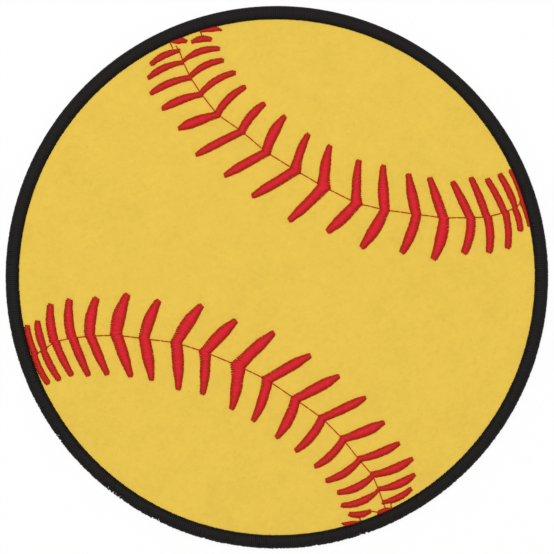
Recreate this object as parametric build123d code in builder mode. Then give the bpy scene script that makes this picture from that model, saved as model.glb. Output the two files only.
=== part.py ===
"""Round embroidered patch that pictures a yellow ball with two laced red seams.

The patch lies face up: its back is on z = 0, its centre on the z axis and the top of the picture
towards +Y. A film, the bobbin threads, a stabiliser and a felt disc are stacked, the laces and the seam
lines are sewn on the felt, and a satin border wraps the cut edge.
"""
import os
from math import cos, pi, sin

from build123d import *

# Whole patch, in millimetres
PATCH_DIAMETER = 101.6
BORDER_WIDTH = 2.4

# Layers, from the back to the face
FILM_THICKNESS = 0.12
BOBBIN_THICKNESS = 0.1
STABILISER_THICKNESS = 0.3
FELT_THICKNESS = 1.1

# Satin border, the padding ring of its underlay and its bobbin thread
BORDER_CROWN = 0.6
EDGE_WRAP = 0.4
BORDER_UNDERLAY_INSET = 0.5
BORDER_UNDERLAY_HEIGHT = 0.3
BORDER_BOBBIN_WIDTH = 0.8

# Lace columns: each arm is widest in its belly and the laces are widest at the middle of a seam
LACE_WIDTH_MIDDLE = 2.1
LACE_WIDTH_END = 1.05
LACE_CROWN = 0.55
LACE_TIP_TAPER = 0.55
LACE_UNDERLAY_WIDTH = 0.35
LACE_UNDERLAY_HEIGHT = 0.12
LACE_BOBBIN_WIDTH = 0.5

# Sideways bow of an arm over its length, from the rim end of a seam to its other end
OUTER_BOW = (0.09, -0.05)
INNER_BOW = (-0.07, 0.08)

# Running stitches of the seam line
SEAM_THREAD_WIDTH = 0.32
SEAM_THREAD_HEIGHT = 0.26
SEAM_STITCH_LENGTH = 2.6
NEEDLE_GAP = 0.3

# Play between threads that lie in or beside one another
THREAD_PLAY = 0.02

# The picture, in hundredths of the radius of the face inside the border, x to the right and y up.
# Each seam is read from the end where its laces run out under the rim: the first two laces there are
# loose pairs of arms, given root to tip. A lace of the rest is its outer tip, its spine and its inner tip.
SEAMS = {
    "upper": {
        "laces": [
            ((-22.5, 88.5), (-36.5, 83.5), (-49.5, 77)),
            ((-21, 84), (-33.5, 77.5), (-49, 71)),
            ((-17, 79), (-29.5, 71.5), (-44, 65.5)),
            ((-12.5, 73.5), (-23, 63), (-38, 57.5)),
            ((-4.5, 67), (-13.5, 56.5), (-31, 47.5)),
            ((3.5, 62.5), (-4, 48.5), (-20, 39.5)),
            ((12.5, 55.5), (7.5, 41.5), (-9.5, 31.5)),
            ((21, 51), (18.5, 35), (5, 22)),
            ((32, 45), (31, 28.5), (20, 17.5)),
            ((41.5, 43), (42, 26), (33, 11.5)),
            ((51, 40), (54, 24.5), (48.5, 9.5)),
            ((59.5, 38.5), (65, 23), (61, 7)),
            ((68, 37), (75, 23), (72.5, 9)),
            ((75.5, 38.5), (81, 23), (82.5, 10)),
            ((82, 38), (88.5, 25), (90, 11.5)),
            ((86, 39.5), (92.5, 27.5), (94.5, 17.5)),
            ((90.3, 41.3), (94.7, 30), (96.8, 22.3)),
        ],
        "loose_arms": [[((-35, 92), (-41, 90.5)), ((-28, 95.5), (-23, 96))],
                       [((-38.8, 87.3), (-49, 82.5)), ((-32.5, 91.5), (-25, 92))]],
        "line_start": [(-39.8, 89.2), (-37.5, 87.2)],
    },
    "lower": {
        "laces": [
            ((25, -88.5), (39.5, -82.5), (53.5, -76.5)),
            ((23.5, -83.5), (37.5, -76.5), (52.5, -70)),
            ((19, -79), (32.5, -70.5), (47.5, -64.5)),
            ((15, -73), (26.5, -62.5), (41.5, -56)),
            ((7.5, -67), (19, -54.5), (34.5, -47)),
            ((0, -62), (8.5, -47), (24, -38.5)),
            ((-8.5, -55.5), (-2, -39.5), (13, -30)),
            ((-18, -51.5), (-14.5, -34), (-1.5, -21.5)),
            ((-29, -45.5), (-27.5, -29), (-16, -17)),
            ((-38.5, -43.5), (-39, -25.5), (-29.5, -11)),
            ((-48.5, -40), (-51, -24), (-46, -9)),
            ((-57, -38.5), (-62, -22.5), (-58, -6.5)),
            ((-66, -37.5), (-72, -23.5), (-70, -8)),
            ((-73, -38.5), (-78.5, -24), (-80.5, -8.5)),
            ((-79.5, -38), (-86, -25), (-88, -10.5)),
            ((-84.5, -40), (-90, -29), (-93, -17)),
            ((-88.5, -41), (-93.5, -30.5), (-96.5, -20)),
        ],
        "loose_arms": [[((30.3, -94.7), (26, -96)), ((39, -90.5), (44, -88.5))],
                       [((37, -90.5), (28.5, -92)), ((42.2, -87.2), (52, -82))]],
        "line_start": [(40.8, -87.4)],
    },
}
ARM_STATIONS = (0, 0.5, 1)
BOBBIN_STATIONS = (0, 1)
CROWN_FACETS = 4

outer_radius = PATCH_DIAMETER / 2
face_radius = outer_radius - BORDER_WIDTH
edge_radius = outer_radius - EDGE_WRAP
film_top = FILM_THICKNESS
bobbin_top = film_top + BOBBIN_THICKNESS
stabiliser_top = bobbin_top + STABILISER_THICKNESS
felt_top = stabiliser_top + FELT_THICKNESS
border_middle = outer_radius - BORDER_WIDTH / 2
border_bobbin_inside = border_middle - BORDER_BOBBIN_WIDTH / 2


def keep(builder, name):
    """Name a finished piece and write it to its own file."""
    builder.part.label = name
    export_step(builder.part, f"parts/{name}.step")


def on_face(share):
    """Point of the picture in millimetres."""
    return Vector(share[0], share[1]) * (face_radius / 100)


def crown_points(width, height):
    """Corners of a low arch of flat facets that stands on the x axis, from its left foot to its right."""
    angles = [pi * facet / CROWN_FACETS for facet in range(CROWN_FACETS + 1)]
    return [(-cos(angle) * width / 2, sin(angle) * height) for angle in angles]


def left_of(heading):
    """Horizontal direction square to a heading, on its left."""
    return Vector(-heading.Y, heading.X)


def bowed(arm, share):
    """Point and heading at a share of the way from an arm's root to its tip."""
    chord = arm["tip"] - arm["root"]
    side = left_of(chord) * (4 * arm["bow"])
    point = arm["root"] + chord * share + side * (share * (1 - share))
    heading = chord + side * (1 - 2 * share)
    return point, heading.normalized()


def make_arm(root, tip, bow, width):
    """One arm of a lace: where it runs, how much it bows and how wide its belly is."""
    return {"root": root, "tip": tip, "bow": bow, "width": width, "mitre": None}


def make_chevron(lace, along):
    """The two arms of one lace, which meet in a mitre at its spine, at a share of the seam's laces."""
    outer_tip, spine, inner_tip = (on_face(share) for share in lace)
    width = LACE_WIDTH_END + (LACE_WIDTH_MIDDLE - LACE_WIDTH_END) * sin(pi * along)
    arms = []
    for tip, bow in ((outer_tip, OUTER_BOW), (inner_tip, INNER_BOW)):
        arms.append(make_arm(spine, tip, bow[0] + (bow[1] - bow[0]) * along, width))
    outer_heading = bowed(arms[0], 0)[1]
    inner_heading = bowed(arms[1], 0)[1]
    crotch = (outer_heading + inner_heading).normalized()
    half_mitre = width / 2 / abs(crotch.cross(outer_heading).Z)
    for arm in arms:
        arm["mitre"] = (crotch, half_mitre)
    return arms


def make_seam(picture):
    """Every lace of a seam as a list of arms, the loose pairs at the rim first."""
    laces = []
    for pair in picture["loose_arms"]:
        arms = []
        for root, tip in pair:
            arms.append(make_arm(on_face(root), on_face(tip), 0, LACE_WIDTH_END))
        laces.append(arms)
    last = len(picture["laces"]) - 1
    for number, lace in enumerate(picture["laces"]):
        laces.append(make_chevron(lace, number / last))
    return laces


def arm_section(arm, share):
    """Plane across an arm at a share of its length, and the width of the column there."""
    point, heading = bowed(arm, share)
    width = arm["width"]
    if share == 0 and arm["mitre"]:
        crotch, half_mitre = arm["mitre"]
        along = left_of(crotch)
        heading = along if along.dot(heading) > 0 else along * -1
        width = 2 * half_mitre
    elif share == 1 or share == 0:
        width = arm["width"] * LACE_TIP_TAPER
    plane = Plane(origin=(point.X, point.Y, felt_top), x_dir=left_of(heading), z_dir=heading)
    return plane, width


def under_border(arms):
    """Whether a lace comes so near to the border that the border covers a part of it."""
    ends = [arm[end] for arm in arms for end in ("root", "tip")]
    return max(end.length for end in ends) > face_radius - LACE_WIDTH_MIDDLE


def trim_at_border():
    """Cut what is being built off where the border covers it."""
    with Locations((0, 0, felt_top)):
        Cylinder(face_radius - THREAD_PLAY, LACE_CROWN * 2, mode=Mode.INTERSECT)


def sew_arm(arm):
    """Crowned satin column of one arm, hollow underneath over its underlay thread."""
    groove = LACE_UNDERLAY_WIDTH / 2 + THREAD_PLAY
    ridge = LACE_UNDERLAY_HEIGHT + THREAD_PLAY
    sections = []
    for share in ARM_STATIONS:
        plane, width = arm_section(arm, share)
        crown = LACE_CROWN * min(1, (width / LACE_WIDTH_MIDDLE) ** 0.5)
        with BuildSketch(plane) as section:
            with BuildLine():
                Polyline(*crown_points(width, crown), (groove, 0), (0, ridge), (-groove, 0), close=True)
            make_face()
        sections.append(section.sketch)
    loft(sections, ruled=True)


def underlay_arm(arm):
    """Centre thread that is sewn first and padded over by the satin."""
    sections = []
    for share in ARM_STATIONS:
        plane = arm_section(arm, share)[0]
        with BuildSketch(plane) as section:
            with BuildLine():
                half = LACE_UNDERLAY_WIDTH / 2
                Polyline((half, 0), (0, LACE_UNDERLAY_HEIGHT), (-half, 0), close=True)
            make_face()
        sections.append(section.sketch)
    loft(sections, ruled=True)


def bobbin_outlines(laces):
    """Strips of bobbin thread behind the laces, as seen from the face."""
    half = LACE_BOBBIN_WIDTH / 2
    for arms in laces:
        for arm in arms:
            left_side = []
            right_side = []
            for share in BOBBIN_STATIONS:
                point, heading = bowed(arm, share)
                left_side.append(point + left_of(heading) * half)
                right_side.append(point - left_of(heading) * half)
            with BuildLine() as outline:
                Polyline(*left_side, *reversed(right_side), close=True)
            make_face(outline.edges())
    Circle(border_bobbin_inside - THREAD_PLAY, mode=Mode.INTERSECT)


def seam_spans(picture, laces):
    """Straight stretches of the seam line that show between the laces."""
    stops = []
    for share in picture["line_start"]:
        stops.append((on_face(share), NEEDLE_GAP / 2))
    for arms in laces[len(picture["loose_arms"]):]:
        stops.append((arms[0]["root"], arms[0]["mitre"][1] + NEEDLE_GAP))
    spans = []
    for (start, start_gap), (end, end_gap) in zip(stops, stops[1:]):
        heading = (end - start).normalized()
        spans.append((start + heading * start_gap, end - heading * end_gap))
    return spans


def sew_span(start, end):
    """Row of running stitches from needle hole to needle hole along one stretch of the seam line."""
    length = (end - start).length
    heading = (end - start).normalized()
    stitches = max(1, round(length / SEAM_STITCH_LENGTH))
    pitch = (length + NEEDLE_GAP) / stitches
    for stitch in range(stitches):
        point = start + heading * (stitch * pitch)
        plane = Plane(origin=(point.X, point.Y, felt_top), x_dir=left_of(heading), z_dir=heading)
        with BuildSketch(plane) as section:
            with BuildLine():
                Polyline(*crown_points(SEAM_THREAD_WIDTH, SEAM_THREAD_HEIGHT), close=True)
            make_face()
        extrude(section.sketch, amount=pitch - NEEDLE_GAP)


os.makedirs("parts", exist_ok=True)
seams = {name: make_seam(picture) for name, picture in SEAMS.items()}

with BuildPart() as heat_seal_film:
    with BuildSketch():
        Circle(edge_radius)
    extrude(amount=FILM_THICKNESS)
keep(heat_seal_film, "heat_seal_film")

with BuildPart() as stabiliser:
    with BuildSketch(Plane.XY.offset(bobbin_top)):
        Circle(edge_radius)
    extrude(amount=STABILISER_THICKNESS)
keep(stabiliser, "stabiliser")

with BuildPart() as felt_ground:
    with BuildSketch(Plane.XY.offset(stabiliser_top)):
        Circle(edge_radius)
    extrude(amount=FELT_THICKNESS)
keep(felt_ground, "felt_ground")

# Border: a crowned ring, padded by its underlay, that turns down over the cut edge
padding_inside = face_radius + BORDER_UNDERLAY_INSET
padding_top = felt_top + BORDER_UNDERLAY_HEIGHT
with BuildPart() as border_satin:
    with BuildSketch(Plane.XZ):
        with BuildLine():
            crown = [(border_middle + x, felt_top + z) for x, z in crown_points(BORDER_WIDTH, BORDER_CROWN)]
            Polyline(*crown, (outer_radius, bobbin_top), (edge_radius + THREAD_PLAY, bobbin_top),
                     (edge_radius + THREAD_PLAY, padding_top + THREAD_PLAY),
                     (padding_inside - THREAD_PLAY, padding_top + THREAD_PLAY),
                     (padding_inside - THREAD_PLAY, felt_top), close=True)
        make_face()
    revolve(axis=Axis.Z)
keep(border_satin, "border_satin")

with BuildPart() as border_underlay:
    with BuildSketch(Plane.XZ):
        with Locations((padding_inside, felt_top)):
            Rectangle(edge_radius - padding_inside, BORDER_UNDERLAY_HEIGHT, align=Align.MIN)
    revolve(axis=Axis.Z)
keep(border_underlay, "border_underlay")

with BuildPart() as border_bobbin:
    with BuildSketch(Plane.XY.offset(film_top)):
        Circle(border_bobbin_inside + BORDER_BOBBIN_WIDTH)
        Circle(border_bobbin_inside, mode=Mode.SUBTRACT)
    extrude(amount=BOBBIN_THICKNESS)
keep(border_bobbin, "border_bobbin")

# Laces, their underlay and bobbin threads, and the running stitches between them, seam by seam
for seam, laces in seams.items():
    for number, arms in enumerate(laces, start=1):
        with BuildPart() as lace:
            for arm in arms:
                sew_arm(arm)
            if under_border(arms):
                trim_at_border()
        keep(lace, f"{seam}_lace_{number:02d}")

    with BuildPart() as lace_underlay:
        for arms in laces:
            for arm in arms:
                underlay_arm(arm)
        trim_at_border()
    keep(lace_underlay, f"{seam}_lace_underlay")

    with BuildPart() as lace_bobbin:
        with BuildSketch(Plane.XY.offset(film_top)):
            bobbin_outlines(laces)
        extrude(amount=BOBBIN_THICKNESS)
    keep(lace_bobbin, f"{seam}_lace_bobbin")

    with BuildPart() as seam_line:
        for start, end in seam_spans(SEAMS[seam], laces):
            sew_span(start, end)
    keep(seam_line, f"{seam}_seam_line")
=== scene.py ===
"""Looks of a round embroidered patch that pictures a yellow ball with two laced red seams.

Every stitch is a thread of its own: one thread is modelled once, and its copies are laid from needle hole
to needle hole as satin columns, running stitches and the satin border. Lengths are in metres, and a point
of the picture is a complex number, x to the right and y up.
"""
import cmath
import math
import random

import bpy
import numpy as np
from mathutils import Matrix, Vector, kdtree, noise


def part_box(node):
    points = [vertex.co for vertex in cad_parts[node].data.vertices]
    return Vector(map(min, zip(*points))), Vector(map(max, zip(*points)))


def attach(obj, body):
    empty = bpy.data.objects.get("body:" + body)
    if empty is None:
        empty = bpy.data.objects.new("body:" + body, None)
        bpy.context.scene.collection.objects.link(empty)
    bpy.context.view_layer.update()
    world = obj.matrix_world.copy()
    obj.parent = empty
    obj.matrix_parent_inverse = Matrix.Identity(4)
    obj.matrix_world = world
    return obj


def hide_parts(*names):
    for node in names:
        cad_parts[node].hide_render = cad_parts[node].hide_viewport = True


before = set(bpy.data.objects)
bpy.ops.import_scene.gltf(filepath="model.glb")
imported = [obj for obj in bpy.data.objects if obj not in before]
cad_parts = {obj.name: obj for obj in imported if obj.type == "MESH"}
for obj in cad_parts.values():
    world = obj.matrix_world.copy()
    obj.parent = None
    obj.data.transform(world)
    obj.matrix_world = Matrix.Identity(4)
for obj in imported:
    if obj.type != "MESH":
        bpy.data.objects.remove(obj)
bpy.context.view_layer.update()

bl_info = {
    "name": "Embroidered Ball Patch",
    "version": (1, 0, 0),
    "blender": (4, 5, 0),
    "location": "View3D > Sidebar > Patch",
    "description": "Sews the felt, border, laces and seam lines of a round patch around its CAD frame",
    "category": "Add Mesh",
}

# Frame: the box of the CAD model and the radii and levels that the pieces take from it
MM = 0.001
OUTER_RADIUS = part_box("border_satin")[1].x
BORDER_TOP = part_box("border_satin")[1].z
BORDER_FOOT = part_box("border_satin")[0].z
EDGE_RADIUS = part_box("felt_ground")[1].x
FELT_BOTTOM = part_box("felt_ground")[0].z
FELT_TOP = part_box("felt_ground")[1].z
STABILISER_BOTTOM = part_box("stabiliser")[0].z
STABILISER_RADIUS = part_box("stabiliser")[1].x
FILM_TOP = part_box("heat_seal_film")[1].z
FILM_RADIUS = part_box("heat_seal_film")[1].x
PADDING_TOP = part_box("border_underlay")[1].z
BOBBIN_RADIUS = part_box("border_bobbin")[1].x
BOBBIN_LEVEL = (FILM_TOP + STABILISER_BOTTOM) / 2
BOBBIN_HEIGHT = STABILISER_BOTTOM - FILM_TOP
BORDER_WIDTH = 2.4 * MM
FACE_RADIUS = OUTER_RADIUS - BORDER_WIDTH

# The picture, in hundredths of the radius of the face inside the border. Each seam is read from the end
# where its laces run out under the rim. There the first two laces are loose pairs of arms, outer arm
# first, given root to tip. A lace of the rest is its outer tip, its spine and its inner tip, and then the
# widths at its spine, of its outer arm and of its inner arm, in tenths of a millimetre. A seam's line
# starts at the rim and runs on from spine to spine, and its travel stitches join the loose arms.
SEAMS = {
    "upper": {
        "loose_arms": [[((-29.6, 95.3), (-21.3, 95.6)), ((-34.9, 91.2), (-41.4, 91))],
                       [((-32.9, 90.9), (-25.2, 92)), ((-37.5, 87.6), (-48.8, 82.2))]],
        "laces": [
            ((-22.1, 88.4), (-36.3, 83.4), (-49.8, 76.9), 6, 11, 11),
            ((-20.6, 83.9), (-33.5, 77.5), (-48.9, 70.9), 9, 11, 12),
            ((-16, 79.2), (-29.3, 71), (-44.4, 65), 10, 11, 14),
            ((-12.1, 73.7), (-23, 63), (-38, 57.3), 13, 13, 18),
            ((-4.5, 67.3), (-13.6, 56.5), (-31.2, 47.2), 15, 15, 14),
            ((3.3, 62.4), (-4.1, 48.4), (-20.2, 39.2), 17, 19, 16),
            ((12.3, 55.4), (7.3, 41.4), (-9.5, 31.2), 21, 15, 17),
            ((20.7, 51), (18.2, 34.9), (4.8, 21.8), 25, 19, 18),
            ((31.9, 45.3), (30.9, 28.6), (19.6, 17.5), 20, 16, 20),
            ((41.3, 43.3), (41.8, 26), (32.9, 11.3), 18, 19, 21),
            ((51, 40), (54, 24.3), (48.5, 9.3), 18, 19, 18),
            ((59.2, 38.5), (64.6, 22.9), (60.7, 6.8), 18, 17, 21),
            ((68, 37), (75, 23), (72.5, 9), 16, 15, 16),
            ((75.2, 38.5), (81.4, 23.2), (82.2, 9.4), 14, 13, 14),
            ((81.4, 38), (88.3, 25), (89.5, 11.1), 12, 11, 11),
            ((86.2, 39.9), (92.4, 26.9), (94.5, 17.8), 9, 11, 10),
            ((90.6, 41.7), (95.3, 29.4), (98.2, 19.8), 9, 9, 9),
        ],
        "line_start": [(-39.1, 89.7), (-37.5, 87.2)],
        "travel": [((-29.6, 95.2), (-28.8, 93)), ((-41.2, 90.6), (-40.2, 88.4))],
    },
    "lower": {
        "loose_arms": [[((32.4, -95.1), (25.3, -95.4)), ((39.2, -91.2), (44.7, -89.5))],
                       [((36.4, -90.6), (27.9, -91.8)), ((40.9, -87.3), (52.2, -81.9))]],
        "laces": [
            ((25, -88.5), (39.5, -82.4), (53.5, -76.4), 6, 12, 14),
            ((23.5, -83.5), (37.2, -76.9), (52.7, -70.2), 11, 13, 15),
            ((19, -79), (32, -70.8), (47.5, -64.3), 11, 13, 14),
            ((14.7, -73.5), (25.8, -62.9), (41.7, -56.2), 14, 14, 18),
            ((7.3, -67.4), (17.7, -54.8), (34.5, -46.7), 16, 16, 16),
            ((-0.1, -62.3), (7.4, -47.4), (24.2, -38.3), 18, 19, 19),
            ((-9.2, -55.8), (-3.6, -39.9), (13.1, -30.3), 20, 17, 19),
            ((-17.5, -51.3), (-14.9, -34.4), (-1, -21.5), 28, 21, 21),
            ((-28.7, -45.5), (-27.7, -29.1), (-15.7, -16.8), 21, 18, 22),
            ((-38.1, -43.7), (-38.8, -25.5), (-29, -10.9), 21, 21, 23),
            ((-48.4, -40), (-51.2, -23.9), (-45.7, -9), 20, 21, 21),
            ((-56.4, -38.7), (-62, -22.5), (-57.7, -6.6), 22, 20, 24),
            ((-65.5, -37.8), (-72.1, -22.9), (-69.7, -8), 18, 16, 20),
            ((-72.8, -38.2), (-79, -23.6), (-80.2, -8.6), 17, 15, 17),
            ((-79.3, -38.2), (-85.8, -25), (-87.6, -10.5), 16, 13, 16),
            ((-84.1, -40), (-90.3, -28.2), (-92.7, -17), 11, 12, 13),
            ((-88.4, -41.4), (-93.8, -30.2), (-96.7, -18.8), 11, 10, 10),
        ],
        "line_start": [(42.2, -90), (41.2, -87.2)],
        "travel": [((31.6, -93), (32.9, -94.6)), ((36.4, -90.6), (39.5, -91.2)),
                   ((44.3, -87.6), (44.3, -90))],
    },
}
PICTURE_UNIT = FACE_RADIUS / 100
TENTH = 0.1 * MM

# The needlework sits a little off the centre of the patch
OFF_CENTRE = complex(-0.05, 0.06) * MM

# Widths of the loose arms at belly and root, and at the tips of the first and the second pair
LOOSE_WIDTH = 10.5 * TENTH
LOOSE_ROOT = 5 * TENTH
LOOSE_TIPS = (1 * TENTH, 7 * TENTH)

# What changes along a seam, at its quarters: the bow of an arm as a share of its length, its root's share
# of the width at the spine, the width of its tip in tenths of a millimetre and the place of its belly
QUARTERS = (0, 0.25, 0.5, 0.75, 1)
OUTER_BOWS = (0.1, 0.07, 0.03, -0.01, -0.04)
INNER_BOWS = (-0.08, -0.012, 0.02, 0.06, 0.04)
OUTER_ROOTS = (0.8, 0.95, 1.0, 0.95, 0.9)
INNER_ROOTS = (1.0, 0.85, 0.9, 1.0, 1.0)
OUTER_TIPS = (7.5, 9, 9.5, 9.5, 9)
INNER_TIPS = (7, 8, 11, 12.5, 8.5)
OUTER_BELLIES = (0.5, 0.5, 0.35, 0.32, 0.4)
INNER_BELLIES = (0.6, 0.6, 0.5, 0.34, 0.45)

# How far from its ends a thread is painted in full shade, and from where on it is painted fully lit over
# its crown
SHADED_INSET = 0.3 * MM
LIT_INSET = 1.1 * MM

# How far a stitch's crown strays up or down, and the share of the full crown that no lace passes
CROWN_SCATTER = 0.02 * MM
CROWN_LIMIT = 1.1

# How far under the border a covered lace is sewn, and how far inside it a stitch has to reach to be sewn
RIM_TUCK = 0.1 * MM
RIM_SHOW = 0.05 * MM

# Shares of an arm's length at which its padding and its bobbin thread start and end
COLUMN_START = 0.03
COLUMN_END = 0.95

# The felt's soft waves by length and weight, how far they sink as a share of the relief, and the margin
# that its slope under the border keeps from the border's inner edge and from its own cut edge
FELT_WAVES = ((6 * MM, 0.5), (2.2 * MM, 0.35), (0.9 * MM, 0.3))
WAVE_SINK = 0.4
RIM_EASE = 0.2 * MM

# Edges sharper than this stay sharp on a sheet
SHARP_EDGE = math.radians(50)

# Pale fibres of the backing that stick out through the border, in degrees round the patch
STRAY_FIBRES = (216.0, 231.2, 232.8, 233.3, 234.5, 243.9, 288.0)


def length(name, description, millimetres):
    """A size that a user would change."""
    metres = millimetres * MM
    return bpy.props.FloatProperty(name=name, description=description, default=metres, unit="LENGTH")


def colour(name, description, parts):
    """A colour that a user would change, as its linear red, green and blue."""
    return bpy.props.FloatVectorProperty(
        name=name, description=description, default=parts, subtype="COLOR")


class PatchSizes(bpy.types.PropertyGroup):
    """Sizes of the stitches and of the felt's surface"""

    thread_width: length("Thread Width", "Width of a flattened embroidery thread", 0.31)
    thread_height: length("Thread Height", "Height of a flattened embroidery thread", 0.2)
    hole_pitch: length("Needle Pitch", "Distance between needle holes on one side of a satin column", 0.34)
    needle_scatter: length("Needle Scatter", "How far a needle hole strays from its place", 0.035)
    needle_depth: length("Needle Depth", "How deep a thread goes into the felt at its ends", 0.25)
    lace_crown: length("Lace Crown", "Height over the felt of a lace of the crown width", 0.55)
    lace_crown_width: length("Crown Width", "Width of a lace that has the full crown", 2.1)
    lace_spread: length("Lace Spread", "How far the needle holes lie outside a lace's edge", 0.12)
    lace_heel: length("Lace Heel", "How far the spine of a lace is drawn out to its heel", 0.12)
    border_pitch: length("Border Pitch", "Distance between needle holes on one side of the border", 0.39)
    border_thread: length("Border Thread", "Width of the thread of the border", 0.43)
    seam_thread: length("Seam Thread", "Width of the running stitches between the laces", 0.2)
    seam_stitch: length("Seam Stitch", "Length of one running stitch of a seam line", 2.6)
    seam_rise: length("Seam Rise", "Height of a running stitch over the felt", 0.1)
    seam_depth: length("Seam Depth", "How deep a running stitch goes into the felt at its ends", 0.12)
    felt_cell: length("Felt Cell", "Size of a mesh cell of the felt", 0.42)
    felt_relief: length("Felt Relief", "Height of the felt's soft unevenness", 0.06)
    rim_press: length("Rim Press", "How far the border presses the felt down at its cut edge", 0.4)
    nap_count: bpy.props.IntProperty(
        name="Nap Fibres", description="Number of loose fibres lying on the felt", default=9000)
    nap_length: length("Nap Length", "Length of a loose fibre of the felt", 1.4)
    nap_thickness: length("Nap Thickness", "Thickness of a loose fibre of the felt", 0.024)
    layer_cell: length("Layer Cell", "Size of a mesh cell of the backing and the film", 0.7)
    bobbin_width: length("Bobbin Width", "Width of the white column behind a lace", 0.5)
    border_bobbin_width: length("Border Bobbin Width", "Width of the white column behind the border", 0.8)
    film_relief: length("Film Relief", "How far the bobbin threads stand out through the film", 0.06)
    pucker_depth: length("Pucker Depth", "How deep the thread pulls the felt in at a needle hole", 0.1)
    pucker_reach: length("Pucker Reach", "How far round a needle hole the felt is pulled in", 0.3)


class PatchColours(bpy.types.PropertyGroup):
    """Colours of the felt and the threads"""

    felt: colour("Felt", "Yellow of the felt", (0.807, 0.55, 0.073))
    # Laces: the first colour is the red with a painted highlight over the crown, the second is painted
    # shade for the thread ends that dive into the felt
    lace: colour("Laces", "Bright red of the lace thread over the crown", (0.67, 0.0163, 0.0263))
    lace_shaded_ends: colour("Lace Edges", "Deep red of its ends", (0.38, 0.018, 0.0002))
    # Seam line: the thread's red, darkened partly as painted shade of the felt groove the stitches sink
    # into
    seam: colour("Seam Line", "Dark red of the running stitches", (0.5, 0.02, 0.0005))
    # Border: the first colour is the black over the crown, the second a darker painted shade for the
    # thread ends
    border: colour("Border", "Black of the border thread over the crown", (0.0068, 0.006, 0.0048))
    border_shaded_ends: colour("Border Edges", "Deep black of its ends", (0.002, 0.0018, 0.0015))
    bobbin: colour("Bobbin", "White of the thread at the back", (0.75, 0.74, 0.71))
    stabiliser: colour("Stabiliser", "Grey white of the non-woven backing", (0.68, 0.67, 0.64))
    film: colour("Film", "Milky white of the heat seal film", (0.7, 0.7, 0.67))


class PatchStage(bpy.types.PropertyGroup):
    """Camera, light and floor"""

    view_width: length("View Width", "Width of the picture on the face of the patch", 103.85)
    view_shift_x: length("View Right", "How far the camera stands to the right of the centre", 0.02)
    view_shift_y: length("View Up", "How far the camera stands above the centre", 0.05)
    camera_height: length("Camera Height", "Height of the camera over the face", 1500)
    lamp_power: bpy.props.FloatProperty(
        name="Lamp Power", description="Power of the soft lamp overhead", default=10.4, unit="POWER")
    sky_strength: bpy.props.FloatProperty(
        name="Sky Strength", description="Strength of the white light from all round", default=0.45)


class Shade:
    """A socket of a shader tree that takes part in expressions; each operation adds its node."""

    def __init__(self, tree, socket):
        self.tree = tree
        self.socket = socket

    def node(self, kind, settings=None, inputs=None, output=0):
        """Add any node, with its settings set first and then its sockets, and give one of its outputs."""
        made = self.tree.nodes.new(kind)
        for name, value in (settings or {}).items():
            setattr(made, name, value)
        for name, value in (inputs or {}).items():
            if isinstance(value, Shade):
                self.tree.links.new(value.socket, made.inputs[name])
            else:
                made.inputs[name].default_value = value
        return Shade(self.tree, made.outputs[output])

    def math(self, operation, first, second=0.0):
        """A Math node on two values."""
        return self.node("ShaderNodeMath", {"operation": operation}, {0: first, 1: second})

    def mix(self, low, high):
        """A colour between two others, with this value as the share of the second."""
        return self.node("ShaderNodeMix", {"data_type": "RGBA"}, {0: self, 6: low, 7: high}, output=2)

    def ramp(self, low, high):
        """This value stretched so that low becomes 0 and high becomes 1, held at both ends."""
        return self.node("ShaderNodeMapRange", None, {"Value": self, "From Min": low, "From Max": high})

    def stretched(self, scale):
        """These coordinates with each axis multiplied."""
        return self.node("ShaderNodeMapping", None, {"Vector": self, "Scale": scale})

    def noise(self, scale, detail=3.0, roughness=0.6, distortion=0.0):
        """Cloudy noise at these coordinates."""
        return self.node("ShaderNodeTexNoise", None, {
            "Vector": self, "Scale": scale, "Detail": detail, "Roughness": roughness,
            "Distortion": distortion})

    def strands(self, lengthwise, crosswise, **settings):
        """Matted strands along x and along y, each given as the noise's scale and its slenderness."""
        scale, slender = lengthwise
        along = self.stretched((1.0, slender, 1.0)).noise(scale, **settings)
        scale, slender = crosswise
        across = self.stretched((slender, 1.0, 1.0)).noise(scale, **settings)
        return (along + across) * 0.5

    def attribute(self, name):
        """A number stored on the mesh."""
        return self.node("ShaderNodeAttribute", {"attribute_name": name}, output="Fac")

    def bump(self, strength, distance):
        """A surface normal that this value raises."""
        return self.node("ShaderNodeBump", None, {
            "Height": self, "Strength": strength, "Distance": distance})

    def __add__(self, other):
        return self.math("ADD", self, other)

    def __radd__(self, other):
        return self.math("ADD", other, self)

    def __mul__(self, other):
        return self.math("MULTIPLY", self, other)

    def __rmul__(self, other):
        return self.math("MULTIPLY", other, self)


def new_finish(name, **constants):
    """A material with its constant sockets set; gives the material, its shader and its coordinates."""
    material = bpy.data.materials.new(name)
    material.use_nodes = True
    tree = material.node_tree
    shader = tree.nodes["Principled BSDF"]
    for socket, value in constants.items():
        shader.inputs[socket.replace("_", " ")].default_value = value
    start = Shade(tree, None)
    place = start.node("ShaderNodeTexCoord", output="Object")
    return material, shader, place


def feed(shader, **values):
    """Link varying values to the sockets of a shader."""
    for socket, value in values.items():
        value.tree.links.new(value.socket, shader.inputs[socket.replace("_", " ")])


def tinted(parts, factor):
    """A colour made darker or lighter, with full alpha."""
    return tuple(min(1.0, part * factor) for part in parts) + (1.0,)


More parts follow.
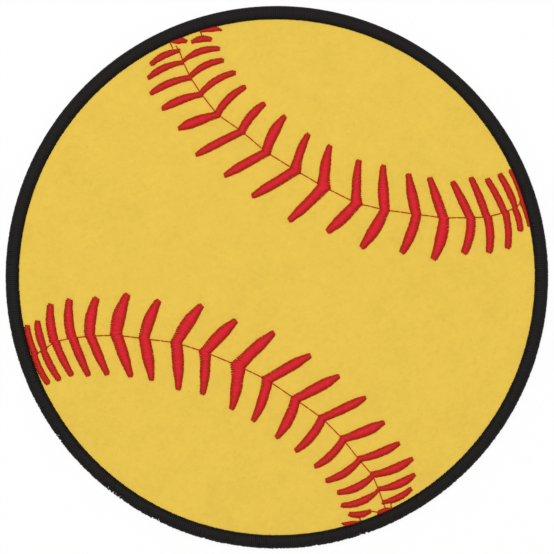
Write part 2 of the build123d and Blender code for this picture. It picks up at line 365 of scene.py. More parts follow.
def felt_finish(colours):
    """Short matted fibres: soft blotches, fine strands two ways and a dull surface."""
    material, shader, place = new_finish(
        "felt", Specular_IOR_Level=0.15, Sheen_Weight=0.12, Sheen_Roughness=0.6)
    blotches = place.noise(190.0, roughness=0.55)
    clumps = place.noise(900.0, distortion=0.6)
    nap = place.strands((2600.0, 3.2), (2300.0, 3.0), distortion=1.2)
    down = place.strands((5200.0, 5.0), (4800.0, 5.0), distortion=2.0)
    tone = (blotches * 0.24 + clumps * 0.34 + nap * 0.24 + down * 0.18).ramp(0.39, 0.61)
    feed(shader, Base_Color=tone.mix(tinted(colours.felt, 0.944), tinted(colours.felt, 1.048)),
         Roughness=nap * 0.1 + 0.88, Normal=(nap * 0.4 + clumps * 0.2 + down * 0.4).bump(0.6, 0.12 * MM))
    return material


def thread_finish(name, edge, crown, roughness, gloss):
    """Twisted thread: painted shade where it enters the cloth, painted light over its crown, each stitch
    its own tone.
    """
    material, shader, place = new_finish(name, Specular_IOR_Level=gloss)
    tone = place.attribute("tone")
    # The edge colour is painted shade for the thread's ends and the crown colour is painted light (a
    # painted highlight on the laces); lit blends from one to the other
    lit = place.attribute("inset").ramp(SHADED_INSET, LIT_INSET)
    strand = tone.mix(tinted(crown, 0.88), tinted(crown, 1.1))
    ply = place.math("SINE", place.attribute("twist"))
    feed(shader, Base_Color=lit.mix(tinted(edge, 1.0), strand),
         Roughness=tone * 0.12 + roughness, Normal=ply.bump(0.25, 0.02 * MM))
    return material


def fibre_finish(colours):
    """Pressed random fibres, as in a non-woven backing."""
    material, shader, place = new_finish("stabiliser", Specular_IOR_Level=0.2)
    web = place.strands((1500.0, 4.0), (1400.0, 4.0), detail=4.0, distortion=2.0)
    pale, white = tinted(colours.stabiliser, 0.85), tinted(colours.stabiliser, 1.08)
    feed(shader, Base_Color=web.ramp(0.3, 0.7).mix(pale, white),
         Roughness=web * 0.1 + 0.85, Normal=web.bump(0.3, 0.05 * MM))
    return material


def film_finish(colours):
    """Milky film with a dull pressed grain, paler over the bobbin threads that show through it."""
    material, shader, place = new_finish("film", Specular_IOR_Level=0.45)
    haze = place.noise(260.0).ramp(0.3, 0.7)
    grain = place.noise(3200.0, detail=2.0, roughness=0.5)
    milk = haze.mix(tinted(colours.film, 0.92), tinted(colours.film, 1.05))
    threads = place.attribute("threads")
    feed(shader, Base_Color=(threads * 0.8).mix(milk, tinted(colours.bobbin, 1.12)),
         Roughness=grain * 0.25 + 0.3, Normal=grain.bump(0.15, 0.02 * MM))
    return material


def chosen(context):
    """The sizes and colours that the user has set."""
    return context.scene.patch_sizes, context.scene.patch_colours


def finished(piece, slot, *nodes):
    """Hand a finished piece over: it rides on the patch and stands for these CAD nodes."""
    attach(piece, "root")
    if nodes:
        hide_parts(*nodes)


def start_clean():
    """Leave edit mode and select nothing, so that the next operator acts on what it adds."""
    if bpy.context.object and bpy.context.object.mode != "OBJECT":
        bpy.ops.object.mode_set(mode="OBJECT")
    bpy.ops.object.select_all(action="DESELECT")


def face_outwards():
    """Turn the faces of the active piece outwards."""
    bpy.ops.object.mode_set(mode="EDIT")
    bpy.ops.mesh.select_all(action="SELECT")
    bpy.ops.mesh.normals_make_consistent(inside=False)
    bpy.ops.object.mode_set(mode="OBJECT")


class Thread:
    """One straight thread, modelled once: rings of a few sides, closed at both ends."""

    END_WIDTH = 0.4
    TWIST_PITCH = 0.3 * MM

    def __init__(self, sides, rings):
        start_clean()
        bpy.ops.mesh.primitive_cylinder_add(vertices=sides, radius=1.0, depth=1.0)
        model = bpy.context.object
        bpy.ops.object.mode_set(mode="EDIT")
        bpy.ops.mesh.select_mode(type="EDGE")
        bpy.ops.mesh.select_all(action="DESELECT")
        bpy.ops.object.mode_set(mode="OBJECT")
        for edge in model.data.edges:
            first, second = (model.data.vertices[index].co.z for index in edge.vertices)
            edge.select = abs(first - second) > 0.5
        bpy.ops.object.mode_set(mode="EDIT")
        if rings > 2:
            bpy.ops.mesh.subdivide(number_cuts=rings - 2)
        bpy.ops.object.mode_set(mode="OBJECT")
        places = np.array([vertex.co for vertex in model.data.vertices])
        self.ring = np.rint((places[:, 2] + 0.5) * (rings - 1)).astype(int)
        self.across = places[:, 0]
        self.up = places[:, 1]
        self.faces = [tuple(face.vertices) for face in model.data.polygons]
        self.rings = rings
        bpy.data.meshes.remove(model.data)

    def sew(self, name, slot, nodes, stitches, finish, width, height, taper=0.12):
        """Lay a copy along every stitch, given as its ring centres and its tone, and hand the piece over.

        The thread narrows to its end width over the taper's share of its length, at both ends.
        """
        lines = np.array([line for line, _ in stitches])
        tones = np.array([tone for _, tone in stitches])
        heading = np.gradient(lines, axis=1)
        heading /= np.linalg.norm(heading, axis=2, keepdims=True)
        chord = lines[:, -1] - lines[:, 0]
        side = np.stack([-chord[:, 1], chord[:, 0], np.zeros(len(chord))], axis=1)
        side /= np.linalg.norm(side, axis=1, keepdims=True)
        side = np.repeat(side[:, None, :], self.rings, axis=1)
        above = np.cross(heading, side)
        steps = np.linalg.norm(np.diff(lines, axis=1), axis=2)
        run = np.concatenate([np.zeros((len(lines), 1)), np.cumsum(steps, axis=1)], axis=1)
        share = run / run[:, -1:]
        from_end = np.minimum(share, 1 - share)
        drawn = np.minimum(1.0, self.END_WIDTH + (1 - self.END_WIDTH) * from_end / taper)[:, :, None]
        side = side * drawn
        above = above * drawn
        points = (lines[:, self.ring] + side[:, self.ring] * (self.across * width / 2)[None, :, None]
                  + above[:, self.ring] * (self.up * height / 2)[None, :, None])
        count = len(self.ring)
        faces = []
        for copy in range(len(lines)):
            faces.extend(tuple(index + copy * count for index in face) for face in self.faces)
        mesh = bpy.data.meshes.new(name)
        mesh.from_pydata(points.reshape(-1, 3).tolist(), [], faces)
        angle = np.arctan2(self.up, self.across)
        values = {
            "inset": np.minimum(run, run[:, -1:] - run)[:, self.ring],
            "tone": np.repeat(tones[:, None], count, axis=1),
            "twist": run[:, self.ring] * (math.tau / self.TWIST_PITCH) + 2 * angle[None, :],
        }
        for attribute, numbers in values.items():
            layer = mesh.attributes.new(attribute, "FLOAT", "POINT")
            layer.data.foreach_set("value", numbers.astype(np.float32).ravel())
        mesh.materials.append(finish)
        piece = bpy.data.objects.new(name, mesh)
        bpy.context.scene.collection.objects.link(piece)
        start_clean()
        piece.select_set(True)
        bpy.context.view_layer.objects.active = piece
        face_outwards()
        bpy.ops.object.shade_smooth()
        finished(piece, slot, *nodes)


def on_face(share):
    """Point of the picture on the face; the needlework sits a little off the centre."""
    return complex(*share) * PICTURE_UNIT + OFF_CENTRE


def eased(share):
    """A share from 0 to 1 that starts and ends gently."""
    share = min(1.0, max(0.0, share))
    return share * share * (3 - 2 * share)


class Arm:
    """One satin column of a lace, from its root at the spine to its tip."""

    FAN_SHARE = 0.3
    BELLY_REACH = 0.08
    TIP_START = 0.93
    TIP_ROUNDING = 0.55

    def __init__(self, root, tip, bow, root_width, belly_width, tip_width, belly=0.5):
        self.root = root
        self.chord = tip - root
        self.bow = bow
        self.root_width = root_width
        self.belly_width = belly_width
        self.tip_width = min(tip_width, belly_width)
        self.belly = belly
        self.lean = 0.0

    def centre(self, share):
        """Point of the middle line at a share of the length."""
        return self.root + self.chord * (share + 4j * self.bow * share * (1 - share))

    def heading(self, share):
        """Direction of the middle line at a share of the length."""
        direction = self.chord * (1 + 4j * self.bow * (1 - 2 * share))
        return direction / abs(direction)

    def half_width(self, share):
        """Half of the column's width: from its root to a full belly and on to a narrower tip."""
        full = self.belly - self.BELLY_REACH
        spent = self.belly + self.BELLY_REACH
        rise = eased(share / full)
        fall = eased((share - spent) / (1 - spent))
        width = self.root_width + (self.belly_width - self.root_width) * rise
        width += (self.tip_width - self.belly_width) * fall
        rounding = max(0.0, share - self.TIP_START) / (1 - self.TIP_START)
        return width / 2 * math.sqrt(1 - self.TIP_ROUNDING * rounding**2)

    def mitre(self, crotch, heel):
        """Draw the root out to its heel and slant the first stitches to meet the other arm's."""
        self.root -= crotch * heel
        self.chord += crotch * heel
        turn = crotch / self.heading(0)
        self.lean = self.half_width(0) * turn.real / turn.imag

    def edge(self, share, side):
        """Needle hole on one side, 1 for the left and -1 for the right."""
        along = self.lean * eased(1 - share / self.FAN_SHARE)
        return self.centre(share) + self.heading(share) * side * (along + 1j * self.half_width(share))


def make_laces(seam, sizes):
    """Every lace of a seam as a list of arms, the loose pairs at the rim first."""
    spread = 2 * sizes.lace_spread
    laces = []
    for pair, loose_tip in zip(seam["loose_arms"], LOOSE_TIPS):
        laces.append([Arm(on_face(root), on_face(tip), bows[0], LOOSE_ROOT + spread, LOOSE_WIDTH + spread,
                          loose_tip + spread)
                      for (root, tip), bows in zip(pair, (OUTER_BOWS, INNER_BOWS))])
    last = len(seam["laces"]) - 1
    for number, (outer, spine, inner, spine_width, outer_width, inner_width) in enumerate(seam["laces"]):
        along = number / last
        arms = []
        root_width = spine_width * TENTH + spread
        for tip, width, tables in (
                (outer, outer_width, (OUTER_BOWS, OUTER_ROOTS, OUTER_TIPS, OUTER_BELLIES)),
                (inner, inner_width, (INNER_BOWS, INNER_ROOTS, INNER_TIPS, INNER_BELLIES))):
            bow, root_share, tip_width, belly = (np.interp(along, QUARTERS, table) for table in tables)
            arms.append(Arm(on_face(spine), on_face(tip), bow, root_width * root_share,
                            width * TENTH + spread, tip_width * TENTH + spread, belly))
        crotch = arms[0].heading(0) + arms[1].heading(0)
        crotch /= abs(crotch)
        # The arm with the wider root is drawn out further, so that both meet in one heel
        stagger = (arms[0].root_width - arms[1].root_width) / 4
        arms[0].mitre(crotch, stagger)
        arms[1].mitre(crotch, sizes.lace_heel - stagger)
        laces.append(arms)
    return laces


def every_arm(seam, sizes):
    """The arms of all laces of a seam, in the order in which they are sewn."""
    return [arm for arms in make_laces(seam, sizes) for arm in arms]


def seam_stops(seam):
    """Points that the seam line runs through: its start at the rim and every spine."""
    return [on_face(share) for share in seam["line_start"]] + [on_face(lace[1]) for lace in seam["laces"]]


def shares(rings):
    """The places of a thread's rings as shares of its way from 0 to 1."""
    return [ring / (rings - 1) for ring in range(rings)]


def arch(start, end, crown, rings, depth):
    """Line of a stitch that rises out of one needle hole and dives into the other."""
    line = []
    for share in shares(rings):
        place = start + (end - start) * (1 - math.cos(math.pi * share)) / 2
        level = FELT_TOP - depth + (crown + depth) * math.sin(math.pi * share)
        line.append((place.real, place.imag, level))
    return line


def under_rim(place):
    """A needle hole, moved in to the border's inner edge where the border would cover it."""
    limit = FACE_RADIUS + RIM_TUCK
    return place if abs(place) <= limit else place * limit / abs(place)


def satin(arm, sizes, chance, rings):
    """Zigzag stitches that cover one arm of a lace."""
    holes = 2 * max(3, round(abs(arm.chord) / sizes.hole_pitch))
    places = []
    for hole in range(holes):
        side = 1 if hole % 2 else -1
        stray = complex(chance.uniform(-1, 1), chance.uniform(-1, 1)) * sizes.needle_scatter
        places.append(under_rim(arm.edge(hole / (holes - 1), side) + stray))
    stitches = []
    for start, end in zip(places, places[1:]):
        if min(abs(start), abs(end)) < FACE_RADIUS - RIM_SHOW:
            fullness = math.sqrt(abs(end - start) / sizes.lace_crown_width)
            crown = sizes.lace_crown * min(CROWN_LIMIT, fullness) - sizes.thread_height / 2
            crown += chance.uniform(-CROWN_SCATTER, CROWN_SCATTER)
            stitches.append((arch(start, end, crown, rings, sizes.needle_depth), chance.random()))
    return stitches


def running(start, end, sizes, chance, rings):
    """Running stitches from needle hole to needle hole along one stretch of a seam line."""
    count = max(1, round(abs(end - start) / sizes.seam_stitch))
    stitches = []
    for stitch in range(count):
        first = start + (end - start) * stitch / count
        second = start + (end - start) * (stitch + 1) / count
        line = arch(first, second, sizes.seam_rise, rings, sizes.seam_depth)
        stitches.append((line, chance.random()))
    return stitches


def zigzag(lefts, rights, chance, level, rise, rings):
    """Stitches to and fro between two rows of needle holes, over a low rise."""
    places = [place for pair in zip(lefts, rights) for place in pair]
    stitches = []
    for start, end in zip(places, places[1:]):
        line = []
        for share in shares(rings):
            place = start + (end - start) * share
            line.append((place.real, place.imag, level + rise * math.sin(math.pi * share)))
        stitches.append((line, chance.random()))
    return stitches


def column(arm, pitch, width_share, margin=0.0):
    """Two rows of needle holes along an arm, off its middle line by a share of its width and a margin."""
    count = max(3, round(abs(arm.chord) / pitch))
    rows = ([], [])
    for part in shares(count):
        share = COLUMN_START + (COLUMN_END - COLUMN_START) * part
        off = arm.heading(share) * 1j * (arm.half_width(share) * width_share + margin)
        for row, side in zip(rows, (1, -1)):
            row.append(under_rim(arm.centre(share) + side * off))
    return rows


def ring_rows(inside, outside, pitch):
    """Two rows of needle holes round the patch, the second half a pitch on, closed to a full turn."""
    count = round(math.tau * outside / pitch)
    turn = math.tau / count
    return ([cmath.rect(inside, hole * turn) for hole in range(count + 1)],
            [cmath.rect(outside, (hole + 0.5) * turn) for hole in range(count + 1)])


class PATCH_OT_laces(bpy.types.Operator):
    """Sew the satin laces of both seams"""

    bl_idname = "patch.laces"
    bl_label = "Laces"

    def execute(self, context):
        sizes, colours = chosen(context)
        # Painted shade at the lace ends and a painted highlight over the crown
        finish = thread_finish("lace_thread", colours.lace_shaded_ends, colours.lace, roughness=0.42, gloss=0.12)
        thread = Thread(sides=5, rings=8)
        for seam, picture in SEAMS.items():
            chance = random.Random(f"laces {seam}")
            for number, arms in enumerate(make_laces(picture, sizes), start=1):
                stitches = []
                for arm in arms:
                    stitches.extend(satin(arm, sizes, chance, thread.rings))
                lace = f"{seam}_lace_{number:02d}"
                thread.sew(f"{lace}_satin", "lace_thread", [lace], stitches, finish,
                           sizes.thread_width, sizes.thread_height)
        return {"FINISHED"}


class PATCH_OT_padding(bpy.types.Operator):
    """Sew the padding threads under the laces and under the border"""

    bl_idname = "patch.padding"
    bl_label = "Padding Threads"

    HOLE_STRIDE = 2
    THREAD_WIDTH = 0.5 * MM
    LACE_HEIGHT = 0.12 * MM
    LACE_SHARE = 0.6
    LACE_SINK = 0.02 * MM
    LACE_RISE = 0.18 * MM
    BORDER_START = FACE_RADIUS + 0.6 * MM
    BORDER_END = EDGE_RADIUS + 0.1 * MM
    BORDER_PITCH = 0.42 * MM
    BORDER_RISE = 0.05 * MM

    def execute(self, context):
        sizes, colours = chosen(context)
        thread = Thread(sides=4, rings=4)
        # Same painted shade at the ends and painted light over the crown as the laces and the border
        finish = thread_finish("lace_padding", colours.lace_shaded_ends, colours.lace, roughness=0.6, gloss=0.2)
        for seam, picture in SEAMS.items():
            chance = random.Random(f"padding {seam}")
            stitches = []
            level = FELT_TOP - self.LACE_SINK
            for arm in every_arm(picture, sizes):
                rows = column(arm, self.HOLE_STRIDE * sizes.hole_pitch, self.LACE_SHARE)
                stitches.extend(zigzag(*rows, chance, level, self.LACE_RISE, thread.rings))
            thread.sew(f"{seam}_lace_padding", "lace_thread", [f"{seam}_lace_underlay"], stitches, finish,
                       self.THREAD_WIDTH, self.LACE_HEIGHT)
        chance = random.Random("border padding")
        rows = ring_rows(self.BORDER_START, self.BORDER_END, self.BORDER_PITCH)
        level = (FELT_TOP + PADDING_TOP) / 2
        stitches = zigzag(*rows, chance, level, self.BORDER_RISE, thread.rings)
        finish = thread_finish("border_padding", colours.border_shaded_ends, colours.border,
                               roughness=0.6, gloss=0.1)
        thread.sew("border_padding", "border_thread", ["border_underlay"], stitches, finish,
                   self.THREAD_WIDTH, PADDING_TOP - FELT_TOP)
        return {"FINISHED"}


class PATCH_OT_bobbin(bpy.types.Operator):
    """Lay the white bobbin threads behind the laces and the border"""

    bl_idname = "patch.bobbin"
    bl_label = "Bobbin Threads"

    HOLE_STRIDE = 1.5
    BORDER_PITCH = 0.8 * MM

    def execute(self, context):
        sizes, colours = chosen(context)
        thread = Thread(sides=4, rings=3)
        # Painted shade: the bobbin white darkened for the thread ends
        shaded_ends = tinted(colours.bobbin, 0.85)[:3]
        finish = thread_finish("bobbin_thread", shaded_ends, colours.bobbin, roughness=0.6, gloss=0.3)
        for seam, picture in SEAMS.items():
            chance = random.Random(f"bobbin {seam}")
            stitches = []
            for arm in every_arm(picture, sizes):
                rows = column(arm, self.HOLE_STRIDE * sizes.hole_pitch, 0.0, sizes.bobbin_width / 2)
                stitches.extend(zigzag(*rows, chance, BOBBIN_LEVEL, 0.0, thread.rings))
            thread.sew(f"{seam}_bobbin_stitches", "bobbin_thread", [f"{seam}_lace_bobbin"], stitches,
                       finish, sizes.thread_width, BOBBIN_HEIGHT)
        chance = random.Random("border bobbin")
        rows = ring_rows(BOBBIN_RADIUS - sizes.border_bobbin_width, BOBBIN_RADIUS, self.BORDER_PITCH)
        stitches = zigzag(*rows, chance, BOBBIN_LEVEL, 0.0, thread.rings)
        thread.sew("border_bobbin_stitches", "bobbin_thread", ["border_bobbin"], stitches, finish,
                   sizes.thread_width, BOBBIN_HEIGHT)
        return {"FINISHED"}


class PATCH_OT_seam_lines(bpy.types.Operator):
    """Sew the running stitches between the laces and the short travel stitches at the rim"""

    bl_idname = "patch.seam_lines"
    bl_label = "Seam Lines"

    TAPER = 0.001

    def execute(self, context):
        sizes, colours = chosen(context)
        # Painted shade: the seam red darkened for the stitch ends
        shaded_ends = tinted(colours.seam, 0.8)[:3]
        finish = thread_finish("seam_thread", shaded_ends, colours.seam, roughness=0.7, gloss=0.1)
        thread = Thread(sides=5, rings=8)
        for seam, picture in SEAMS.items():
            chance = random.Random(f"seam {seam}")
            stops = seam_stops(picture)
            stitches = []
            for start, end in zip(stops, stops[1:]):
                stitches.extend(running(start, end, sizes, chance, thread.rings))
            for start, end in picture["travel"]:
                stitches.extend(running(on_face(start), on_face(end), sizes, chance, thread.rings))
            thread.sew(f"{seam}_seam_stitches", "lace_thread", [f"{seam}_seam_line"], stitches, finish,
                       sizes.seam_thread, sizes.seam_thread, self.TAPER)
        return {"FINISHED"}


def look_up(places):
    """A tree that finds the nearest of these places quickly."""
    tree = kdtree.KDTree(len(places))
    for index, place in enumerate(places):
        tree.insert((place.real, place.imag, 0.0), index)
    tree.balance()
    return tree


def needle_holes(sizes):
    """Places where threads go through the felt."""
    places = []
    for picture in SEAMS.values():
        for arm in every_arm(picture, sizes):
            count = max(3, round(abs(arm.chord) / sizes.hole_pitch))
            for hole in range(count):
                places.extend(arm.edge(hole / (count - 1), side) for side in (-1, 1))
        stops = seam_stops(picture)
        for start, end in zip(stops, stops[1:]):
            count = max(1, round(abs(end - start) / sizes.hole_pitch))
            places.extend(start + (end - start) * step / count for step in range(count + 1))
    return look_up(places)


def felt_level(place, holes, sizes):
    """Height of the felt's face at a place: soft waves, pulled in where threads enter."""
    waves = sum(noise.noise(place / span) * weight for span, weight in FELT_WAVES)
    near = holes.find(place)[2]
    pucker = math.exp(-((near / sizes.pucker_reach) ** 2))
    rim_start = FACE_RADIUS + RIM_EASE
    rim = eased((place.to_2d().length - rim_start) / (EDGE_RADIUS - RIM_EASE - rim_start))
    level = FELT_TOP + sizes.felt_relief * (waves - WAVE_SINK) * (1 - pucker) - sizes.pucker_depth * pucker
    return level - sizes.rim_press * rim


def lay_disc(name, radius, cell, face_level, back_level):
    """A closed round sheet: a grid drawn in to a disc, its face shaped and its back flat."""
    cells = round(2 * radius / cell)
    start_clean()
    bpy.ops.mesh.primitive_grid_add(x_subdivisions=cells, y_subdivisions=cells, size=2.0)
    disc = bpy.context.object
    disc.name = name
    bpy.ops.object.mode_set(mode="EDIT")
    bpy.ops.mesh.select_all(action="DESELECT")
    bpy.ops.mesh.select_mode(type="EDGE")
    bpy.ops.mesh.select_non_manifold()
    bpy.ops.mesh.extrude_region_move(TRANSFORM_OT_translate={"value": (0.0, 0.0, -1.0)})
    bpy.ops.mesh.edge_face_add()
    bpy.ops.object.mode_set(mode="OBJECT")
    for vertex in disc.data.vertices:
        flat = vertex.co.copy()
        place = Vector((flat.x * math.sqrt(1 - flat.y**2 / 2), flat.y * math.sqrt(1 - flat.x**2 / 2), 0.0))
        place *= radius
        place.z = back_level if flat.z < -0.5 else face_level(place)
        vertex.co = place
    face_outwards()
    bpy.ops.object.shade_smooth_by_angle(angle=SHARP_EDGE)
    return disc


class PATCH_OT_felt(bpy.types.Operator):
    """Lay the felt disc, uneven and pulled in where the threads enter it, with loose fibres on its face"""

    bl_idname = "patch.felt"
    bl_label = "Felt"

    NAP_SHORTEST = 0.5
    NAP_CURL = 0.5
    NAP_LIFT = (0.01 * MM, 0.035 * MM)
    NAP_ROOT = 0.01 * MM

    def execute(self, context):
        sizes, colours = chosen(context)
        holes = needle_holes(sizes)
        felt = lay_disc("felt", EDGE_RADIUS, sizes.felt_cell,
                        lambda place: felt_level(place, holes, sizes), FELT_BOTTOM)
        felt.data.materials.append(felt_finish(colours))
        finished(felt, "felt", "felt_ground")
        thread = Thread(sides=3, rings=4)
        # Painted light: the fibres are painted lighter than the felt to make up for the shade on their
        # thin sides, most over the crown and less at the ends
        shaded_ends, bright = tinted(colours.felt, 1.06)[:3], tinted(colours.felt, 1.18)[:3]
        finish = thread_finish("nap", shaded_ends, bright, roughness=0.8, gloss=0.1)
        fibres = [self.fibre(random.Random(f"nap {number}"), thread.rings, holes, sizes)
                  for number in range(sizes.nap_count)]
        thread.sew("felt_nap", "felt", [], fibres, finish, sizes.nap_thickness, sizes.nap_thickness)
        return {"FINISHED"}

    def fibre(self, chance, rings, holes, sizes):
        """Line of one loose fibre, curled, lying on the felt with both ends in it."""
        middle = cmath.rect((FACE_RADIUS - sizes.nap_length) * math.sqrt(chance.random()),
                            chance.uniform(0, math.tau))
        reach = sizes.nap_length * chance.uniform(self.NAP_SHORTEST, 1.0)
        way = cmath.rect(reach, chance.uniform(0, math.tau))
        curl = chance.uniform(-self.NAP_CURL, self.NAP_CURL)
        lift = chance.uniform(*self.NAP_LIFT)
        line = []
        for share in shares(rings):
            place = middle + way * (share - 0.5 + 1j * curl * share * (1 - share))
            level = felt_level(Vector((place.real, place.imag, 0.0)), holes, sizes)
            rise = lift * math.sin(math.pi * share) - self.NAP_ROOT
            line.append((place.real, place.imag, level + rise))
        return line, chance.random()


class PATCH_OT_stabiliser(bpy.types.Operator):
    """Lay the non-woven backing under the felt"""

    bl_idname = "patch.stabiliser"
    bl_label = "Stabiliser"

    RELIEF = 0.015 * MM
    WAVE = 1.5 * MM

    def execute(self, context):
        sizes, colours = chosen(context)
        disc = lay_disc("stabiliser_sheet", STABILISER_RADIUS, sizes.layer_cell, self.level, FELT_BOTTOM)
        disc.data.materials.append(fibre_finish(colours))
        finished(disc, "stabiliser", "stabiliser")
        return {"FINISHED"}

    def level(self, place):
        """Height of the lower face, a little uneven."""
        return STABILISER_BOTTOM + self.RELIEF * (1 + noise.noise(place / self.WAVE))


class PATCH_OT_film(bpy.types.Operator):
    """Press the heat seal film on at the back, so that the bobbin threads stand out through it"""

    bl_idname = "patch.film"
    bl_label = "Heat Seal Film"

    STEPS_PER_ARM = 20
    FLANK = 0.6 * MM
    WAVE = 3 * MM
    WAVE_SHARE = 0.25

    def execute(self, context):
        sizes, colours = chosen(context)
        columns = self.columns(sizes)
        disc = lay_disc("film_sheet", FILM_RADIUS, sizes.layer_cell,
                        lambda place: self.level(place, columns, sizes), FILM_TOP)
        layer = disc.data.attributes.new("threads", "FLOAT", "POINT")
        values = [self.pressed(vertex.co, columns, sizes) for vertex in disc.data.vertices]
        layer.data.foreach_set("value", values)
        disc.data.materials.append(film_finish(colours))
        finished(disc, "film", "heat_seal_film")
        return {"FINISHED"}

    def columns(self, sizes):
        """Points along the middle lines of the bobbin columns behind the laces."""
        places = []
        steps = self.STEPS_PER_ARM
        for picture in SEAMS.values():
            for arm in every_arm(picture, sizes):
                places.extend(arm.centre(step / steps) for step in range(steps + 1))
        return look_up(places)

    def pressed(self, place, columns, sizes):
        """How far a bobbin column stands out through the film at a place, from 0 to 1."""
        flat = Vector((place.x, place.y, 0.0))
        from_lace = columns.find(flat)[2] - sizes.bobbin_width / 2
        from_ring = abs(flat.length - BOBBIN_RADIUS + sizes.border_bobbin_width / 2)
        from_ring -= sizes.border_bobbin_width / 2
        return eased(1 - min(from_lace, from_ring) / self.FLANK)

    def level(self, place, columns, sizes):
        """Height of the film's back: lowest over the threads, drawn up and a little wavy between them."""
        waves = 0.5 + 0.5 * noise.noise(place / self.WAVE)
        drawn_up = sizes.film_relief * (1 - self.pressed(place, columns, sizes))
        return drawn_up * (1 - self.WAVE_SHARE + self.WAVE_SHARE * waves)


class PATCH_OT_border(bpy.types.Operator):
    """Sew the satin border over its padding and the cut edge"""

    bl_idname = "patch.border"
    bl_label = "Satin Border"

    RINGS = 11
    INNER_SPREAD = 0.12 * MM
    OUTER_SCATTER = (-1, 0.6)
    SMOOTHEST = 0.4
    ROUGHEST = 2.0
    FRAYED_DEGREES = 1.4
    FRAYED_CHANCE = 0.45
    SHORT_CHANCE = 0.12
    SHORT_BY = (0.08 * MM, 0.26 * MM)
    FLANK_FOOT = 0.3 * MM
    FLANK_TUCK = 0.15 * MM
    FIBRE_LENGTH = (0.35 * MM, 0.75 * MM)
    FIBRE_SLANT = 0.008
    FIBRE_REACH = 0.08 * MM
    FIBRE_FLANK = 0.1 * MM
    FIBRE_LIFT = 0.02 * MM
    FIBRE_WIDTH = 0.09 * MM
    FIBRE_HEIGHT = 0.06 * MM

    def execute(self, context):
        sizes, colours = chosen(context)
        chance = random.Random("border")
        pairs = 2 * round(math.tau * (OUTER_RADIUS - BORDER_WIDTH / 2) / sizes.border_pitch / 2)
        turn = math.tau / (2 * pairs)
        stitches = []
        for pair in range(pairs):
            slanted = self.line(2 * pair * turn, (2 * pair + 1) * turn, sizes, chance)
            stitches.append((slanted, chance.random()))
            straight = self.line((2 * pair + 2) * turn, (2 * pair + 2) * turn, sizes, chance)
            stitches.append((straight, chance.random()))
        thread = Thread(sides=5, rings=self.RINGS)
        # Painted shade at the border thread's ends, its own black over the crown
        finish = thread_finish("border_thread", colours.border_shaded_ends, colours.border,
                               roughness=0.5, gloss=0.12)
        thread.sew("border_stitches", "border_thread", ["border_satin"], stitches, finish,
                   sizes.border_thread, sizes.thread_height)
        self.stray_fibres(colours)
        return {"FINISHED"}

    def stray_fibres(self, colours):
        """Short pale fibres of the backing that the needle has drawn out through the border's flank."""
        chance = random.Random("stray fibres")
        thread = Thread(sides=4, rings=4)
        fibres = []
        middle = (FACE_RADIUS + OUTER_RADIUS) / 2
        height = BORDER_TOP + self.FIBRE_LIFT - FELT_TOP
        for degrees in STRAY_FIBRES:
            line = []
            reach = chance.uniform(*self.FIBRE_LENGTH)
            slant = chance.uniform(-self.FIBRE_SLANT, self.FIBRE_SLANT)
            for share in shares(thread.rings):
                radius = OUTER_RADIUS + self.FIBRE_REACH - reach * (1 - share)
                place = cmath.rect(radius, math.radians(degrees) + slant * share)
                slope = 1 - ((radius - middle) / (OUTER_RADIUS + self.FIBRE_FLANK - middle)) ** 2
                line.append((place.real, place.imag, FELT_TOP + height * math.sqrt(max(0.0, slope))))
            fibres.append((line, chance.random()))
        # Painted shade: the backing's white darkened for the fibre ends
        shaded_ends = tinted(colours.stabiliser, 0.8)[:3]
        finish = thread_finish("stray_fibre", shaded_ends, colours.stabiliser, roughness=0.8, gloss=0.2)
        thread.sew("stray_fibres", "stabiliser", [], fibres, finish, self.FIBRE_WIDTH, self.FIBRE_HEIGHT)

    def line(self, start, end, sizes, chance):
        """Line of one stitch from the inner needle hole over the crown and down the cut edge.

        The outer edge is smooth at the top of the patch and rough at its foot, where threads fall short.
        """
        rough = 0.5 - 0.5 * math.sin(start)
        half = sizes.thread_height / 2
        inside = FACE_RADIUS - self.INNER_SPREAD + chance.uniform(-1, 1) * sizes.needle_scatter
        scatter = sizes.needle_scatter * (self.SMOOTHEST + (self.ROUGHEST - self.SMOOTHEST) * rough)
        outside = OUTER_RADIUS + chance.uniform(*self.OUTER_SCATTER) * scatter
        away = min(abs(math.degrees(start) - degrees) for degrees in STRAY_FIBRES)
        frayed = away < self.FRAYED_DEGREES
        if chance.random() < (self.FRAYED_CHANCE if frayed else self.SHORT_CHANCE * rough**3):
            outside -= chance.uniform(*self.SHORT_BY)
        middle = (inside + outside) / 2
        reach = (outside - inside) / 2
        foot = FELT_TOP - sizes.needle_depth
        crown = BORDER_TOP - half - foot + chance.uniform(-CROWN_SCATTER, CROWN_SCATTER)
        arch_rings = self.RINGS - 3
        profile = []
        for ring in range(arch_rings):
            angle = math.pi * ring / arch_rings
            profile.append((middle - reach * math.cos(angle), foot + crown * math.sin(angle)))
        profile.append((outside, foot))
        profile.append((outside, BORDER_FOOT + self.FLANK_FOOT))
        profile.append((outside - self.FLANK_TUCK, BORDER_FOOT + half))
        line = []
        for ring, (radius, level) in enumerate(profile):
            place = cmath.rect(radius, start + (end - start) * min(1.0, ring / arch_rings))
            line.append((place.real, place.imag, level))
        return line


def white_ray(shade):
    """1 for a ray from the camera, a reflection or a clear surface, which all see plain white; else 0."""
    camera, glossy, clear = (shade.node("ShaderNodeLightPath", output=f"Is {kind} Ray")
                             for kind in ("Camera", "Glossy", "Transmission"))
    return shade.math("MAXIMUM", camera, shade.math("MAXIMUM", glossy, clear))


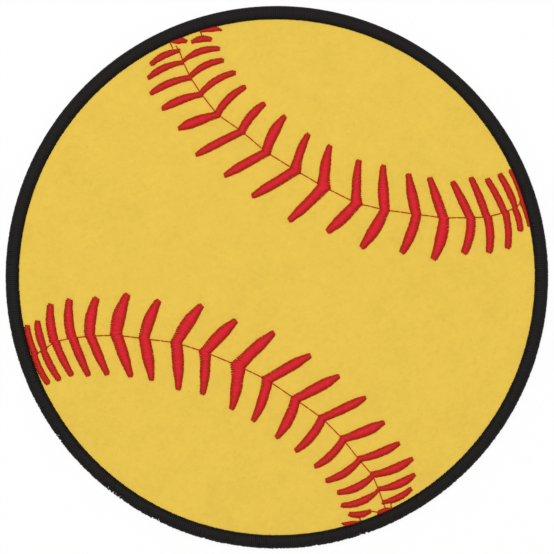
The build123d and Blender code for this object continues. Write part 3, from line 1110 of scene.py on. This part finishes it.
class PATCH_OT_stage(bpy.types.Operator):
    """Set up the floor, the soft light and the camera"""

    bl_idname = "patch.stage"
    bl_label = "Stage"

    FLOOR_SIZE = 4.0
    FLOOR_GAP = 0.02 * MM
    FLOOR_WHITE = 0.93
    LAMP_PLACE = (-0.12, 0.28, 1.2)
    LAMP_SIZE = 0.9

    def execute(self, context):
        stage = context.scene.patch_stage
        start_clean()
        bpy.ops.mesh.primitive_plane_add(size=self.FLOOR_SIZE, location=(0.0, 0.0, -self.FLOOR_GAP))
        floor = bpy.context.object
        floor.name = "floor"
        floor.data.materials.append(self.floor_finish())
        bpy.ops.object.light_add(type="AREA", location=self.LAMP_PLACE)
        lamp = bpy.context.object
        lamp.rotation_euler = (-lamp.location).to_track_quat("-Z", "Y").to_euler()
        lamp.data.size = self.LAMP_SIZE
        lamp.data.energy = stage.lamp_power
        lamp.visible_camera = False
        self.light_sky(context.scene, stage.sky_strength)
        bpy.ops.object.camera_add(
            location=(stage.view_shift_x, stage.view_shift_y, FELT_TOP + stage.camera_height),
            rotation=(0.0, 0.0, 0.0))
        camera = bpy.context.object
        camera.data.lens = camera.data.sensor_width * stage.camera_height / stage.view_width
        context.scene.camera = camera
        context.scene.view_settings.view_transform = "Standard"
        return {"FINISHED"}

    def floor_finish(self):
        """White floor that shows white to the camera and keeps a soft shadow."""
        material, shader, place = new_finish("floor", Roughness=0.9, Specular_IOR_Level=0.0)
        grain = place.noise(40.0, detail=2.0, roughness=0.5)
        feed(shader, Base_Color=grain.mix((0.93, 0.93, 0.93, 1.0), (0.95, 0.95, 0.95, 1.0)))
        tree = material.node_tree
        white = tree.nodes.new("ShaderNodeEmission")
        blend = tree.nodes.new("ShaderNodeMixShader")
        share = white_ray(place) * self.FLOOR_WHITE
        tree.links.new(share.socket, blend.inputs[0])
        tree.links.new(shader.outputs[0], blend.inputs[1])
        tree.links.new(white.outputs[0], blend.inputs[2])
        tree.links.new(blend.outputs[0], tree.nodes["Material Output"].inputs["Surface"])
        return material

    def light_sky(self, scene, strength):
        """White all round: full white to the camera, softer as a light."""
        world = bpy.data.worlds.new("sky")
        world.use_nodes = True
        scene.world = world
        tree = world.node_tree
        background = tree.nodes["Background"]
        background.inputs["Color"].default_value = (1.0, 1.0, 1.0, 1.0)
        start = Shade(tree, None)
        level = white_ray(start) * (1.0 - strength) + strength
        tree.links.new(level.socket, background.inputs["Strength"])


class PATCH_PT_sidebar(bpy.types.Panel):
    """Sizes, colours and steps of the patch"""

    bl_idname = "PATCH_PT_sidebar"
    bl_label = "Embroidered Patch"
    bl_space_type = "VIEW_3D"
    bl_region_type = "UI"
    bl_category = "Patch"

    def draw(self, context):
        for group in (context.scene.patch_sizes, context.scene.patch_colours, context.scene.patch_stage):
            box = self.layout.box()
            for name in group.__annotations__:
                box.prop(group, name)
        for step in STEPS:
            self.layout.operator(step.bl_idname)


GROUPS = {"patch_sizes": PatchSizes, "patch_colours": PatchColours, "patch_stage": PatchStage}
STEPS = (PATCH_OT_film, PATCH_OT_bobbin, PATCH_OT_stabiliser, PATCH_OT_felt, PATCH_OT_padding,
         PATCH_OT_laces, PATCH_OT_seam_lines, PATCH_OT_border, PATCH_OT_stage)


def register():
    for name, group in GROUPS.items():
        bpy.utils.register_class(group)
        setattr(bpy.types.Scene, name, bpy.props.PointerProperty(type=group))
    for step in STEPS:
        bpy.utils.register_class(step)
    bpy.utils.register_class(PATCH_PT_sidebar)


def unregister():
    bpy.utils.unregister_class(PATCH_PT_sidebar)
    for step in reversed(STEPS):
        bpy.utils.unregister_class(step)
    for name, group in reversed(GROUPS.items()):
        delattr(bpy.types.Scene, name)
        bpy.utils.unregister_class(group)


def main():
    """Dress the patch step by step."""
    register()
    bpy.ops.patch.film()
    bpy.ops.patch.bobbin()
    bpy.ops.patch.stabiliser()
    bpy.ops.patch.felt()
    bpy.ops.patch.padding()
    bpy.ops.patch.laces()
    bpy.ops.patch.seam_lines()
    bpy.ops.patch.border()
    bpy.ops.patch.stage()


if __name__ == "__main__":
    main()
